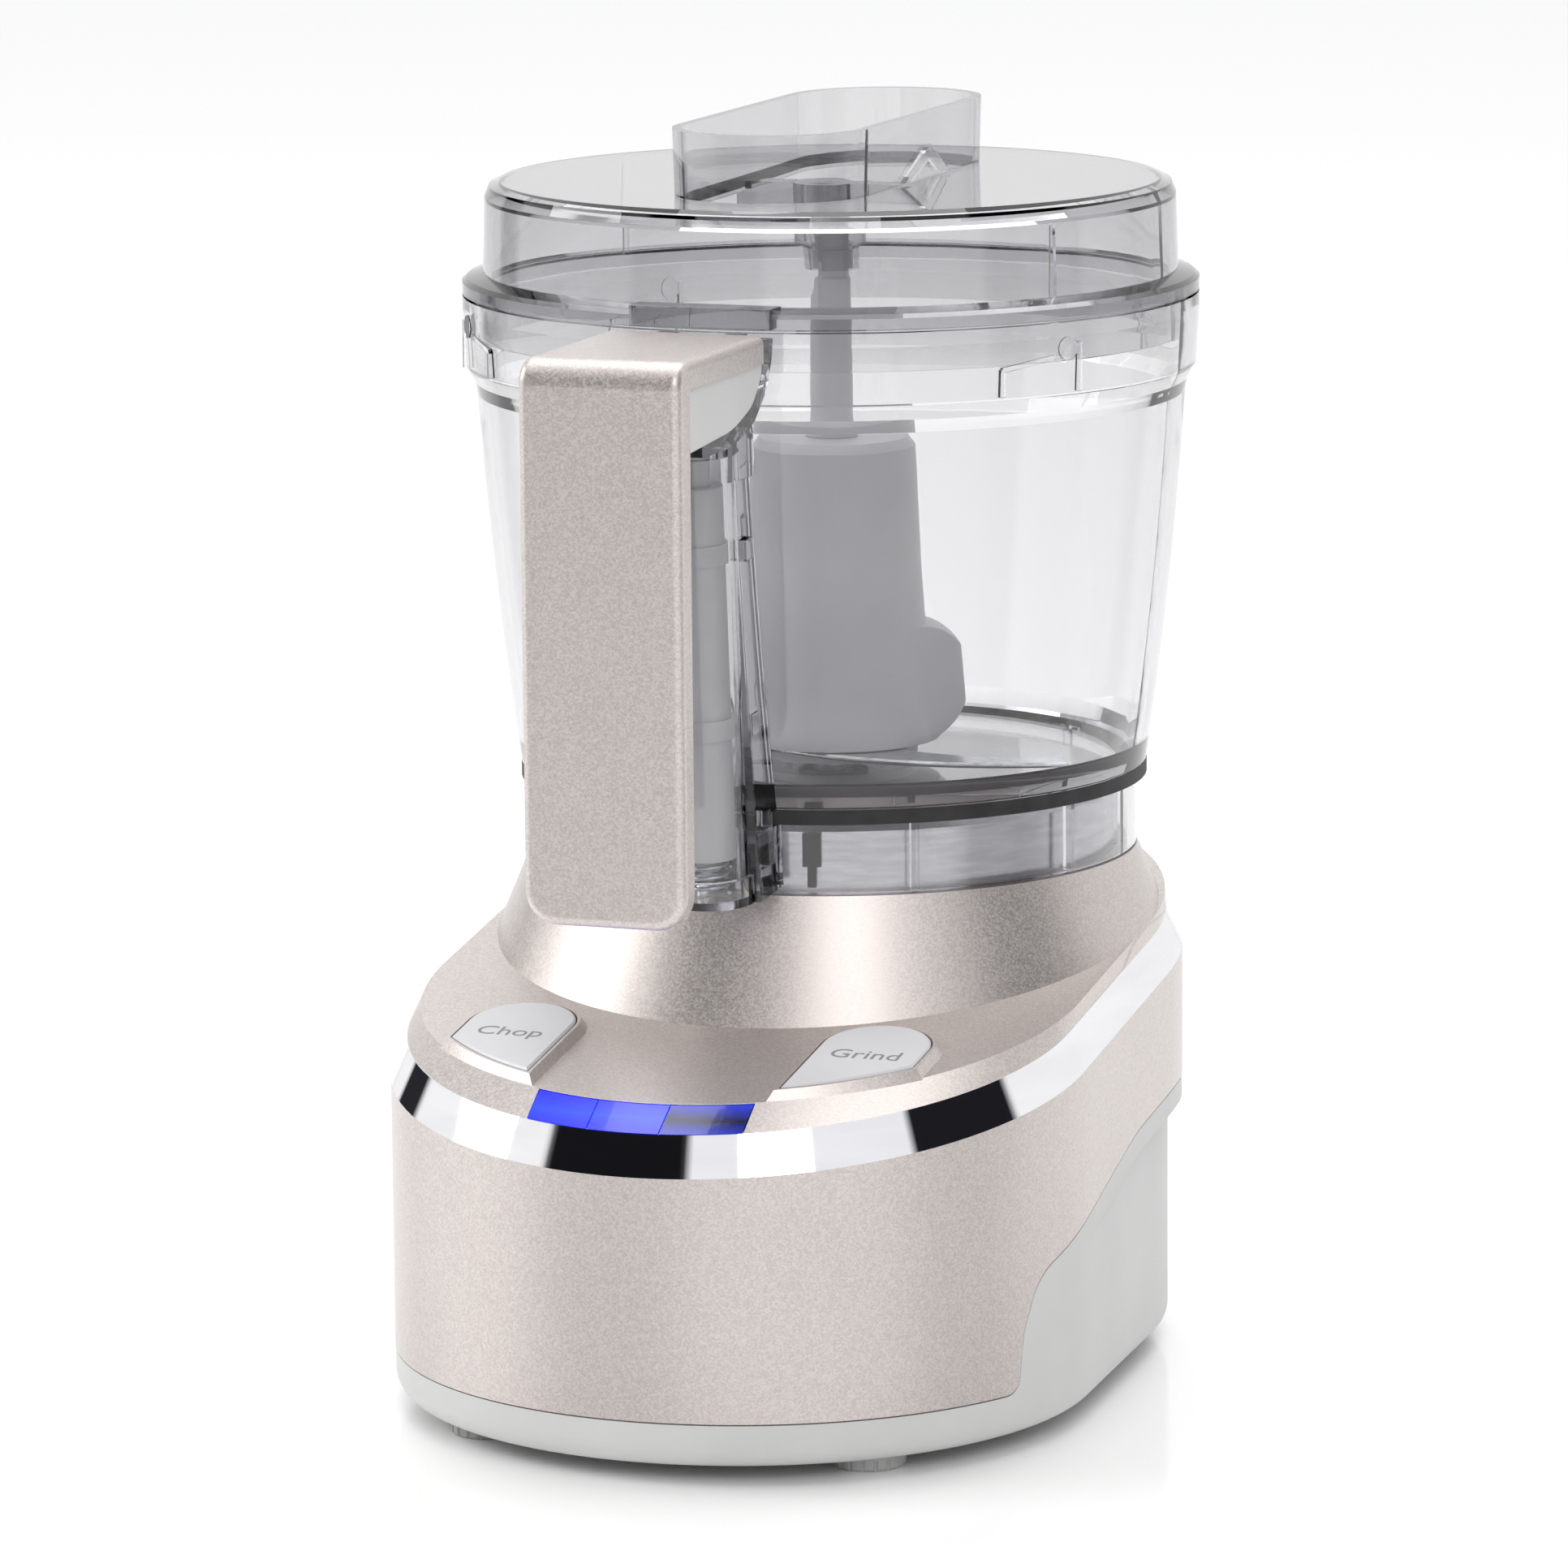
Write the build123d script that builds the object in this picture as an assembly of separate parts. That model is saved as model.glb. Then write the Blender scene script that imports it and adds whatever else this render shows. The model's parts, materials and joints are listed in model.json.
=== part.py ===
"""Cordless mini food processor, built as an assembly of separate pieces.

Frame: millimetres, +Z up, +X to the machine's right seen from the front, +Y to the rear.
The origin is under the middle of the whole machine, on the surface it stands on.
"""

import os
from math import atan, cos, degrees, radians, sin, sqrt

from build123d import *

# Base, seen from above: a stadium between the nose circle and the rear circle
AXIS_Y = 28.5                # bowl, blade and drive axis, also the rear circle's centre
NOSE_Y = -24.4               # centre of the nose circle
BASE_R = 70.6
CASING_REAR_R = 67.6         # the rear casing narrows by this much at the back
CASING_NOSE_R = 70.5
BASE_BOTTOM_Z = 3.2
SEAM_Z = 12.2                # joint between silver shell and tray at the nose
REAR_SEAM_Z = 55.5           # the same joint at the back
WALL = 2.6
SEAM_GAP = 0.15

# Tilted control deck
TILT = 9.0                   # degrees, rising to the rear
TRIM_FOOT_Z = 60.0           # foot of the chrome trim at the very front
TRIM_RISE = 7.2
TRIM_INSET = 3.5
DECK_RISE = 10.6             # deck surface, square above the foot of the trim
RIDGE_NOSE_Y = -17.5
RIDGE_R = 66.9
BOSS_RISE = 1.9              # button surrounds above the deck

# Neck cone that carries the bowl
NECK_TOP_Z = 103.5
NECK_TOP_R = 61.4
NECK_SLOPE = 0.42            # radius gained per millimetre down
SPIGOT_R = 56.8
SPIGOT_TOP_Z = 115.6

# Buttons
BUTTON_INNER_X = 26.0
BUTTON_OUTER_X = 47.5
BUTTON_ROUND_Y = -53.0
BUTTON_GAP = 0.35
BUTTON_PROUD = 0.35
INDICATOR_EDGES = (-22.0, -8.6, 6.2, 22.0)

# Bowl
SKIRT_R = 61.3
SKIRT_FOOT_Z = 104.0
FLOOR_Z = 118.2
FLOOR_TOP_Z = 121.0
RIM_TOP_Z = 215.8
RIM_R = 74.0
POST_R = 10.5
POST_TOP_Z = 158.0

# Lid
LID_FOOT_Z = 216.3
FLANGE_TOP_Z = 219.4
LID_TOP_Z = 238.5
LID_R = 69.3
CHUTE_HALF_WIDTH = 19.5      # at the lid's top plate; the tube widens upwards
CHUTE_HALF_LENGTH = 52.8
CHUTE_DRAFT = 0.4
CHUTE_TOP_Z = 251.7
CHUTE_WALL = 2.0
SEAM_AZIMUTHS = (-72.3, -31.1, 107.7, 148.9)   # thin ribs inside the lid's wall

# Handle
GRIP_FRONT_Y = -102.5
GRIP_HALF_WIDTH = 16.3
GRIP_DEPTH = 5.4
GRIP_FOOT_Z = 109.5
GRIP_TOP_Z = 217.0
ARM_REAR_Y = -56.5

# Interlock column in front of the bowl wall
COLUMN_R = 8.2
WEB_TOP = 7.2                 # half widths of the web behind the column
WEB_FOOT = 10.6
RING_HEIGHTS = (35.0, 69.6)   # rings on the rod and clips beside them, along the column
COLUMN_BORE_R = 6.7
COLUMN_TOP = (-52.3, 199.0)   # y, z of the column's axis
COLUMN_FOOT = (-44.9, 104.6)
ROD_R = 5.5
HEAD_R = 3.2
FOOT_HALF_WIDTH = 2.4         # bar from the rod in to the safety switch
FOOT_LOW_Z = 113.6
SCREW_X = (-11.5, 11.5)
SCREW_Z = 207.6

# Drive
MOTOR_Y = -5.5
MOTOR_R = 18.5
MOTOR_FOOT_Z = 20.0
MOTOR_TOP_Z = 74.0
GEAR_MODULE = 1.0
PINION_TEETH = 14
GEAR_TEETH = 54
GEAR_FOOT_Z = 83.5
GEAR_HEIGHT = 8.0
SPINDLE_R = 4.0
SPINDLE_FOOT_Z = 72.0
SPINDLE_TOP_Z = 176.0
BUSH_R = 7.0
BEARING_R = 8.0
PLATE_SCREWS = ((-27.0, 14.0), (27.0, 14.0), (-17.0, 54.0), (17.0, 54.0))

PADDLE_TURN = 19.8           # azimuth of the first paddle

# Things in and under the tray
FEET_XY = ((-39.5, -66.5), (39.5, -66.5), (-43.0, 64.0), (43.0, 64.0))
COVER_R = 55.0
COVER_SCREWS = ((-44.0, -42.0), (44.0, -42.0), (-44.0, 44.0), (44.0, 44.0))
JACK_Z = 24.0
JACK_R = 4.6
BATTERY_Y = (-39.0, -58.6)
BATTERY_Z = 20.4
SWITCH_X = 36.75
SWITCH_Y = -58.0


def at_axis(z=0.0):
    """Place something on the bowl axis at height z."""
    return Pos(0, AXIS_Y, z)


def cyl(radius, z_low, z_high, x=0.0, y=AXIS_Y):
    """Upright cylinder between two heights."""
    return Pos(x, y, z_low) * Cylinder(radius, z_high - z_low, align=(Align.CENTER, Align.CENTER, Align.MIN))


def tube(outer, inner, z_low, z_high, x=0.0, y=AXIS_Y):
    """Upright tube between two heights."""
    return cyl(outer, z_low, z_high, x, y) - cyl(inner, z_low - 1, z_high + 1, x, y)


def block(x0, x1, y0, y1, z0, z1):
    """Box from its six faces."""
    return Pos((x0 + x1) / 2, (y0 + y1) / 2, (z0 + z1) / 2) * Box(x1 - x0, y1 - y0, z1 - z0)


def revolve_profile(points):
    """Turn a closed (radius, height) outline about the bowl axis."""
    face = make_face(Polyline(*[(r, 0, z) for r, z in points], close=True))
    return at_axis() * revolve(face, axis=Axis.Z)


def stadium(radius, z_low, z_high, nose_y=NOSE_Y, rear_y=AXIS_Y):
    """Upright block with the base's outline."""
    outline = SlotCenterToCenter(rear_y - nose_y, 2 * radius, rotation=90)
    return Pos(0, (nose_y + rear_y) / 2, z_low) * extrude(outline, amount=z_high - z_low)


def deck_plane(rise=0.0):
    """Plane of the tilted deck, square above the foot of the chrome trim."""
    foot_z = TRIM_FOOT_Z - (NOSE_Y - BASE_R) * sin(radians(TILT)) / cos(radians(TILT))
    normal = (0, -sin(radians(TILT)), cos(radians(TILT)))
    return Plane(origin=(0, 0, foot_z), x_dir=(1, 0, 0), z_dir=normal).offset(rise)


def deck_y(y, rise):
    """In-plane coordinate of a point that stands at y when seen from above."""
    return (y + rise * sin(radians(TILT))) / cos(radians(TILT))


def tilted_stadium(rise, nose_y, radius):
    """Base outline drawn on the tilted plane so that its plan view keeps its size."""
    stretch = radius * (1 / cos(radians(TILT)) - 1)
    front = deck_y(nose_y, rise) - stretch
    rear = deck_y(AXIS_Y, rise) + stretch
    outline = SlotCenterToCenter(rear - front, 2 * radius, rotation=90)
    return deck_plane(rise) * Pos(0, (front + rear) / 2) * outline


def above_deck(rise, height=160.0):
    """Everything above a tilted plane."""
    return deck_plane(rise) * Box(300, 420, height, align=(Align.CENTER, Align.CENTER, Align.MIN))


def below_deck(rise, depth=160.0):
    """Everything below a tilted plane."""
    return deck_plane(rise) * Box(300, 420, depth, align=(Align.CENTER, Align.CENTER, Align.MAX))


def side_prism(points, radii, half_width=120.0):
    """Prism along X from a rounded outline in (y, z)."""
    wire = FilletPolyline(*points, radius=radii, close=True)
    sketch = Plane.YZ * make_face(wire)
    return extrude(sketch, amount=half_width, both=True)


def casing_region(shift=0.0):
    """Region behind and under the seam, seen from the side."""
    points = [
        (-130, -20),
        (-130, SEAM_Z - shift),
        (-51.5 + shift, SEAM_Z - shift),
        (-50.0 + shift, 24 - shift),
        (-45.5 + shift, 34.5 - shift),
        (7.4, 51.5 - shift),
        (34, REAR_SEAM_Z - shift),
        (150, REAR_SEAM_Z - shift),
        (150, -20),
    ]
    return side_prism(points, [1, 1, 3.5, 9, 12, 80, 60, 1, 1])


def tapered_outline(nose_r, rear_r, z_low, z_high):
    """Casing outline: the nose circle joined by straight sides to a smaller rear circle."""
    circles = Pos(0, NOSE_Y) * Circle(nose_r) + Pos(0, AXIS_Y) * Circle(rear_r)
    return Pos(0, 0, z_low) * extrude(make_hull(circles.edges()), amount=z_high - z_low)


# ---------------------------------------------------------------- base shells


def lower_shell():
    """Silver painted skin round the base, open where the rear casing shows."""
    ring = stadium(BASE_R, 0, 110) - stadium(BASE_R - WALL, -1, 111)
    ring = ring & below_deck(0.0)
    return ring - casing_region(-SEAM_GAP)


def rear_casing():
    """Light grey tray and rear panel, narrower towards the back."""
    outer = tapered_outline(CASING_NOSE_R, CASING_REAR_R, BASE_BOTTOM_Z, REAR_SEAM_Z + 3)
    outer = fillet(outer.faces().sort_by(Axis.Z)[0].edges(), 4.6)
    inner = tapered_outline(CASING_NOSE_R - WALL, CASING_REAR_R - WALL,
                            BASE_BOTTOM_Z + WALL, REAR_SEAM_Z + 9)
    shell = (outer - inner) & casing_region(SEAM_GAP)
    border = stadium(BASE_R - 0.1, SEAM_Z - 3, REAR_SEAM_Z + 3) - stadium(BASE_R - WALL - 1.0, 0, 90)
    border = (border & casing_region(SEAM_GAP)) - casing_region(4.6)
    shell = shell + border
    jack = Pos(0, AXIS_Y + CASING_REAR_R, JACK_Z) * Rot(90, 0, 0) * Cylinder(JACK_R + 0.05, 20)
    opening = stadium(COVER_R + 0.25, 0, 8, NOSE_Y + 2, AXIS_Y - 2)
    return shell - jack - opening


def bottom_cover():
    """Flat service plate that closes the tray, with its screw holes."""
    plate = stadium(COVER_R, BASE_BOTTOM_Z, BASE_BOTTOM_Z + 2.4, NOSE_Y + 2, AXIS_Y - 2)
    for x, y in COVER_SCREWS:
        plate -= cyl(1.9, 0, 20, x, y)
    return plate


def chrome_trim():
    """Polished band that leans in between the shell and the deck."""
    foot_outline = tilted_stadium(0.0, NOSE_Y, BASE_R - 0.1)
    outer = loft([foot_outline, tilted_stadium(TRIM_RISE, NOSE_Y, BASE_R - TRIM_INSET)])
    inner = loft([
        tilted_stadium(-0.5, NOSE_Y, BASE_R - WALL),
        tilted_stadium(TRIM_RISE + 0.5, NOSE_Y, BASE_R - WALL - TRIM_INSET),
    ])
    return outer - inner


def deck_block(shrink, foot, rise):
    """Deck between the trim and its upper ridge."""
    low = tilted_stadium(foot, NOSE_Y, BASE_R - TRIM_INSET - 0.1 - shrink)
    high = tilted_stadium(rise, RIDGE_NOSE_Y, RIDGE_R - shrink)
    return loft([low, high])


def neck_cone(shrink):
    """Cone under the bowl, as deep as the deck."""
    depth = NECK_TOP_Z - 62.0
    cone = Cone(NECK_TOP_R + NECK_SLOPE * depth - shrink, NECK_TOP_R - shrink, depth)
    return at_axis(62.0 + depth / 2) * cone


def button_outline(grow, rise, side):
    """D-shaped button seen square to the deck: round at the rear, curved front edge."""
    button_rise = DECK_RISE + BOSS_RISE
    inner_x = BUTTON_INNER_X - grow
    outer_x = BUTTON_OUTER_X + grow
    mid_x = (inner_x + outer_x) / 2
    round_r = (outer_x - inner_x) / 2
    round_y = deck_y(BUTTON_ROUND_Y, button_rise)
    front_y = deck_y(-95.0, button_rise)
    body = Pos(mid_x, (round_y + front_y) / 2) * Rectangle(2 * round_r, round_y - front_y)
    shape = body + Pos(mid_x, round_y) * Circle(round_r)
    shape = shape & (Pos(0, deck_y(RIDGE_NOSE_Y, button_rise)) * Circle(RIDGE_R - 1.1 + grow))
    shape = shape if side > 0 else mirror(shape, about=Plane.YZ)
    return deck_plane(rise) * shape


def upper_housing():
    """Silver deck, button surrounds and neck in one hollow moulding."""
    top_rise = DECK_RISE + BOSS_RISE
    neck_limit = stadium(BASE_R - TRIM_INSET + 0.1, 50, 130)
    shell = deck_block(0, TRIM_RISE, DECK_RISE)
    shell += neck_cone(0) & neck_limit & above_deck(TRIM_RISE)
    for side in (-1, 1):
        shell += loft([button_outline(3.0, DECK_RISE - 1.5, side), button_outline(0.95, top_rise, side)])
    hollow = deck_block(WALL, TRIM_RISE - 2, DECK_RISE - 2.2)
    hollow += neck_cone(WALL) & stadium(BASE_R - TRIM_INSET - WALL, 50, NECK_TOP_Z - 2.5)
    shell -= hollow
    shell -= cyl(SPIGOT_R + 0.05, NECK_TOP_Z - 8, NECK_TOP_Z + 8)
    for side in (-1, 1):
        shell -= extrude(button_outline(BUTTON_GAP, DECK_RISE - 6, side), amount=20)
    return shell - indicator_band(0.12, 8.0)


def indicator_band(gap, depth):
    """Curved bar through the front wall of the deck, where the indicator sits."""
    proud = 0.3
    outer = deck_block(-proud, TRIM_RISE + 0.2 - gap, DECK_RISE - 0.2 + gap)
    inner = deck_block(depth, TRIM_RISE - 1.0, DECK_RISE + 1.0)
    reach = block(INDICATOR_EDGES[0] - gap, INDICATOR_EDGES[-1] + gap, -110, -60, 50, 90)
    return (outer - inner) & reach


def indicator_segment(index):
    """One of the clear indicator blocks, set flush in the wall."""
    gap = 0.12
    reach = block(INDICATOR_EDGES[index] + gap, INDICATOR_EDGES[index + 1] - gap, -110, -60, 50, 90)
    return indicator_band(0.0, 2.6) & reach


def bowl_seat():
    """Fluted spigot inside the bowl's skirt, with the hole for the drive spindle."""
    seat = tube(SPIGOT_R, SPIGOT_R - 3.0, NECK_TOP_Z - 6.0, SPIGOT_TOP_Z)
    seat += cyl(SPIGOT_R - 1.0, SPIGOT_TOP_Z - 2.5, SPIGOT_TOP_Z)
    seat += cyl(12.0, SPIGOT_TOP_Z - 12.0, SPIGOT_TOP_Z)
    seat += tube(NECK_TOP_R - 4, SPIGOT_R - 3.0, NECK_TOP_Z - 5.0, NECK_TOP_Z - 2.6)
    for turn in range(3):
        lug = Pos(SPIGOT_R - 1.0, 0, 109.5) * Box(3.2, 9.0, 2.6)
        seat += at_axis() * Rot(0, 0, 30 + 120 * turn) * lug
    seat -= block(-5.6, 5.6, AXIS_Y - SPIGOT_R - 3, AXIS_Y - SPIGOT_R + 9, 98.0, SPIGOT_TOP_Z + 1)
    return seat - cyl(BUSH_R, SPIGOT_TOP_Z - 20, SPIGOT_TOP_Z + 5)


def safety_switch():
    """Microswitch in the notch of the seat, under the foot of the interlock rod."""
    front = AXIS_Y - SPIGOT_R
    body = block(-5.2, 5.2, front + 1.2, front + 8.6, 98.5, 108.2)
    lever = block(-2.0, 2.0, front + 1.6, front + 8.0, 108.2, FOOT_LOW_Z - 4.2)
    return body + lever


def lock_catch():
    """Dark catch on the seat that the bowl's skirt turns against."""
    wide = Pos(SPIGOT_R + 0.9, 0, 112.2) * Box(1.6, 3.6, 6.6)
    narrow = Pos(SPIGOT_R + 0.9, 0, 106.9) * Box(1.6, 1.7, 4.2)
    return at_axis() * Rot(0, 0, -75.0) * (wide + narrow)


def spindle_bush():
    """Bronze bush pressed into the seat."""
    return tube(BUSH_R, SPINDLE_R + 0.04, SPIGOT_TOP_Z - 12.0, SPIGOT_TOP_Z - 2.0)


def spindle_seal():
    """Rubber lip seal above the bush."""
    return tube(BUSH_R, SPINDLE_R + 0.35, SPIGOT_TOP_Z - 1.9, SPIGOT_TOP_Z + 0.5)


# --------------------------------------------------------------------- drive


def gear_solid(teeth, height, bore):
    """Straight-cut gear with trapezoid teeth, its first tooth on +X."""
    pitch_r = GEAR_MODULE * teeth / 2
    tip_r = pitch_r + 0.88 * GEAR_MODULE
    root_r = pitch_r - 1.2 * GEAR_MODULE
    step = 360 / teeth
    points = []
    for tooth in range(teeth):
        centre = tooth * step
        for radius, share in ((root_r, -0.33), (tip_r, -0.13), (tip_r, 0.13), (root_r, 0.33)):
            angle = radians(centre + share * step)
            points.append((radius * cos(angle), radius * sin(angle)))
    face = make_face(Polyline(*points, close=True)) - Circle(bore)
    return extrude(face, amount=height)


def motor_can():
    """Steel motor body with its rear bearing boss."""
    can = cyl(MOTOR_R, MOTOR_FOOT_Z, MOTOR_TOP_Z, 0, MOTOR_Y)
    can = chamfer(can.edges().filter_by(GeomType.CIRCLE), 1.2)
    can += cyl(6.0, MOTOR_FOOT_Z - 3, MOTOR_FOOT_Z, 0, MOTOR_Y)
    can += cyl(6.0, MOTOR_TOP_Z, MOTOR_TOP_Z + 2.0, 0, MOTOR_Y)
    return can - cyl(1.62, MOTOR_TOP_Z - 20, MOTOR_TOP_Z + 5, 0, MOTOR_Y)


def motor_pinion():
    """Brass pinion on the motor shaft, turned so that its teeth mesh with the wheel."""
    shaft = cyl(1.58, MOTOR_TOP_Z - 19, GEAR_FOOT_Z + GEAR_HEIGHT + 1.5, 0, MOTOR_Y)
    gear = gear_solid(PINION_TEETH, GEAR_HEIGHT + 1.0, 1.0)
    half_tooth = 180 / PINION_TEETH
    pinion = Pos(0, MOTOR_Y, GEAR_FOOT_Z - 0.5) * Rot(0, 0, 90 + half_tooth) * gear
    return shaft + pinion


def drive_gear():
    """Large reduction gear keyed to the spindle."""
    gear = gear_solid(GEAR_TEETH, GEAR_HEIGHT, SPINDLE_R)
    for turn in range(6):
        gear -= Rot(0, 0, 60 * turn) * Pos(15.5, 0) * Cylinder(4.5, 3 * GEAR_HEIGHT)
    gear += Cylinder(8.0, 3.0, align=(Align.CENTER, Align.CENTER, Align.MAX)) - Cylinder(SPINDLE_R, 20)
    return at_axis(GEAR_FOOT_Z) * Rot(0, 0, 270) * gear


def drive_spindle():
    """Steel spindle that comes up through the seat and ends in a hexagon."""
    round_part = cyl(SPINDLE_R, SPINDLE_FOOT_Z, POST_TOP_Z - 26)
    hexagon = extrude(RegularPolygon(SPINDLE_R, 6), amount=SPINDLE_TOP_Z - POST_TOP_Z + 26)
    return round_part + at_axis(POST_TOP_Z - 26) * hexagon


def gear_plate():
    """Glass-filled plate that holds the motor and the spindle's lower bearing."""
    outline = make_hull(
        (Pos(0, MOTOR_Y) * Circle(24) + Pos(0, AXIS_Y) * Circle(34)).edges()
    )
    plate = Pos(0, 0, 76.2) * extrude(outline, amount=3.4)
    for x, y in PLATE_SCREWS:
        plate += cyl(4.0, 58.0, 79.6, x, y)
        plate -= cyl(1.6, 40, 90, x, y)
    plate -= cyl(9.0, 70, 85, 0, MOTOR_Y)
    return plate - cyl(BEARING_R, 70, 85)


def lower_bearing():
    """Ball bearing in the gear plate, drawn as its two rings and the shield."""
    return tube(BEARING_R, SPINDLE_R + 0.04, 74.6, 79.6)


def chassis():
    """Inner frame: floor plate, motor cradle and the pillars under the gear plate."""
    frame = stadium(52.0, BASE_BOTTOM_Z + 2.6, BASE_BOTTOM_Z + 5.0, NOSE_Y + 4, AXIS_Y - 4)
    frame += tube(MOTOR_R + 3.0, MOTOR_R + 0.4, BASE_BOTTOM_Z + 4, 30.0, 0, MOTOR_Y)
    frame += cyl(MOTOR_R + 2.0, BASE_BOTTOM_Z + 4, MOTOR_FOOT_Z - 3.2, 0, MOTOR_Y)
    for x, y in PLATE_SCREWS:
        frame += cyl(4.0, BASE_BOTTOM_Z + 4, 57.9, x, y)
        frame -= cyl(1.6, 40, 60, x, y)
    for x, y in COVER_SCREWS:
        frame -= cyl(1.9, 0, 20, x, y)
    return frame


def battery_cells():
    """Two lithium cells side by side in the nose."""
    cells = []
    for y in BATTERY_Y:
        cell = Pos(0, y, BATTERY_Z) * Rot(0, 90, 0) * Cylinder(9.1, 65)
        cells.append(cell)
    return cells


def battery_holder():
    """Open tray with end walls that keeps the cells apart."""
    tray = block(-36, 36, -69.5, -28.0, BASE_BOTTOM_Z + 5.1, BATTERY_Z)
    for y in BATTERY_Y:
        tray -= Pos(0, y, BATTERY_Z) * Rot(0, 90, 0) * Cylinder(9.35, 65.6)
    return tray


def control_board():
    """Circuit board under the deck, square to the buttons."""
    rise = -2.4
    board = Pos(0, deck_y(-58.5, rise)) * Rectangle(84, 22)
    return extrude(deck_plane(rise) * board, amount=1.6)


def button_switches():
    """Tact switches under the two buttons."""
    solids = []
    for side in (-1, 1):
        centre = deck_plane(-0.8) * Pos(side * SWITCH_X, deck_y(SWITCH_Y, 0))
        body = Pos(0, 0, 1.6) * Box(6, 6, 3.2)
        solids.append(centre * (body + Pos(0, 0, 3.6) * Cylinder(1.7, 0.8)))
    return solids


def charging_jack():
    """Barrel socket in the rear of the casing, under a shallow rim."""
    rear = AXIS_Y + CASING_REAR_R
    barrel = Pos(0, rear - 6.2, JACK_Z) * Rot(90, 0, 0) * Cylinder(JACK_R, 12)
    return barrel - Pos(0, rear, JACK_Z) * Rot(90, 0, 0) * Cylinder(2.8, 19.0)


def cover_screws():
    """Screws of the bottom cover."""
    return [cyl(3.2, BASE_BOTTOM_Z - 1.2, BASE_BOTTOM_Z, x, y) + cyl(1.7, BASE_BOTTOM_Z, 11, x, y)
            for x, y in COVER_SCREWS]


def plate_screws():
    """Screws of the gear plate."""
    return [cyl(3.0, 79.6, 81.6, x, y) + cyl(1.5, 52, 79.6, x, y) for x, y in PLATE_SCREWS]


def feet():
    """Ribbed rubber feet."""
    solids = []
    for x, y in FEET_XY:
        foot = cyl(7.3, 0.0, BASE_BOTTOM_Z, x, y)
        foot = chamfer(foot.faces().sort_by(Axis.Z)[0].edges(), 0.5)
        for turn in range(18):
            angle = radians(20 * turn)
            foot -= cyl(0.45, -1, 2.2, x + 7.4 * cos(angle), y + 7.4 * sin(angle))
        solids.append(foot)
    return solids


def button_cap(side):
    """Light grey button with a stem down to its switch."""
    top = DECK_RISE + BOSS_RISE + BUTTON_PROUD
    cap = extrude(button_outline(0.0, top - 3.4, side), amount=3.0)
    cap += loft([button_outline(0.0, top - 0.4, side), button_outline(-0.4, top, side)])
    stem = Pos(side * SWITCH_X, deck_y(SWITCH_Y, 0)) * Circle(2.4)
    return cap + extrude(deck_plane(4.9) * stem, amount=top - 3.0 - 4.9)


# ---------------------------------------------------------------------- bowl


def wall_radius(z):
    """Outer radius of the slightly bulged bowl wall."""
    share = (z - FLOOR_Z) / 78.0
    return 62.9 + 8.3 * share + 3.4 * share * (1 - share)


def bowl_shell():
    """Bowl wall, floor, centre post and rim as one turned shape."""
    wall = 2.2
    heights = [121.0, 137.0, 156.0, 176.0, 196.0]
    outer = Spline(*[(wall_radius(z), 0, z) for z in heights])
    inner = Spline(*[(wall_radius(z) - wall, 0, z) for z in reversed([126.0] + heights[1:])])
    outline = [
        (wall_radius(196.0), 0, 196.0), (71.7, 0, 198.6), (73.4, 0, 201.6), (RIM_R, 0, 213.0),
        (RIM_R, 0, RIM_TOP_Z), (71.8, 0, RIM_TOP_Z), (71.2, 0, 201.8), (wall_radius(196.0) - wall, 0, 196.0),
    ]
    floor = [
        (wall_radius(126.0) - wall, 0, 126.0), (57.2, 0, FLOOR_TOP_Z), (POST_R, 0, FLOOR_TOP_Z),
        (POST_R, 0, POST_TOP_Z), (POST_R - 2.0, 0, POST_TOP_Z), (POST_R - 2.0, 0, FLOOR_Z),
        (SKIRT_R - 2.0, 0, FLOOR_Z), (SKIRT_R - 2.0, 0, SKIRT_FOOT_Z), (SKIRT_R, 0, SKIRT_FOOT_Z),
        (SKIRT_R, 0, FLOOR_TOP_Z), (wall_radius(121.0), 0, 121.0),
    ]
    edges = [outer, Polyline(*outline), inner, Polyline(*floor)]
    return at_axis() * revolve(make_face(edges), axis=Axis.Z)


def lean(shape_at_foot):
    """Lean an upright column shape back along the bowl wall."""
    angle = degrees(atan((COLUMN_FOOT[0] - COLUMN_TOP[0]) / (COLUMN_TOP[1] - COLUMN_FOOT[1])))
    return Pos(0, COLUMN_FOOT[0], COLUMN_FOOT[1]) * Rot(angle, 0, 0) * shape_at_foot


def column_length():
    """Length of the interlock column along its own axis."""
    return sqrt((COLUMN_TOP[0] - COLUMN_FOOT[0]) ** 2 + (COLUMN_TOP[1] - COLUMN_FOOT[1]) ** 2)


def column_block(radius, low, high, reach):
    """Rounded front with parallel walls that run back towards the bowl."""
    outline = Circle(radius) + Pos(0, reach / 2) * Rectangle(2 * radius, reach)
    return Pos(0, 0, low) * extrude(outline, amount=high - low)


def rim_details():
    """Bayonet ramps and pins on the outside of the rim, and ribs inside the skirt."""
    solids = []
    for azimuth in (-37.5, -142.5, 37.5, 142.5):
        mirrored = 1 if cos(radians(azimuth)) > 0 else -1
        place = at_axis() * Rot(0, 0, azimuth)
        solids.append(place * Pos(73.4, -8.6 * mirrored, 205.0) * Box(1.4, 1.0, 5.4))
        ramp = Pos(73.4, -2.6 * mirrored, 208.4) * Rot(8 * mirrored, 0, 0) * Box(1.4, 12.4, 1.0)
        solids.append(place * ramp)
        solids.append(place * Pos(73.4, 9.4 * mirrored, 207.1) * Box(1.4, 1.0, 9.6))
        pin = Pos(73.2, 6.8 * mirrored, 210.8) * Rot(0, 90, 0) * Cylinder(2.3, 1.6)
        solids.append(place * pin)
    return solids


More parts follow.
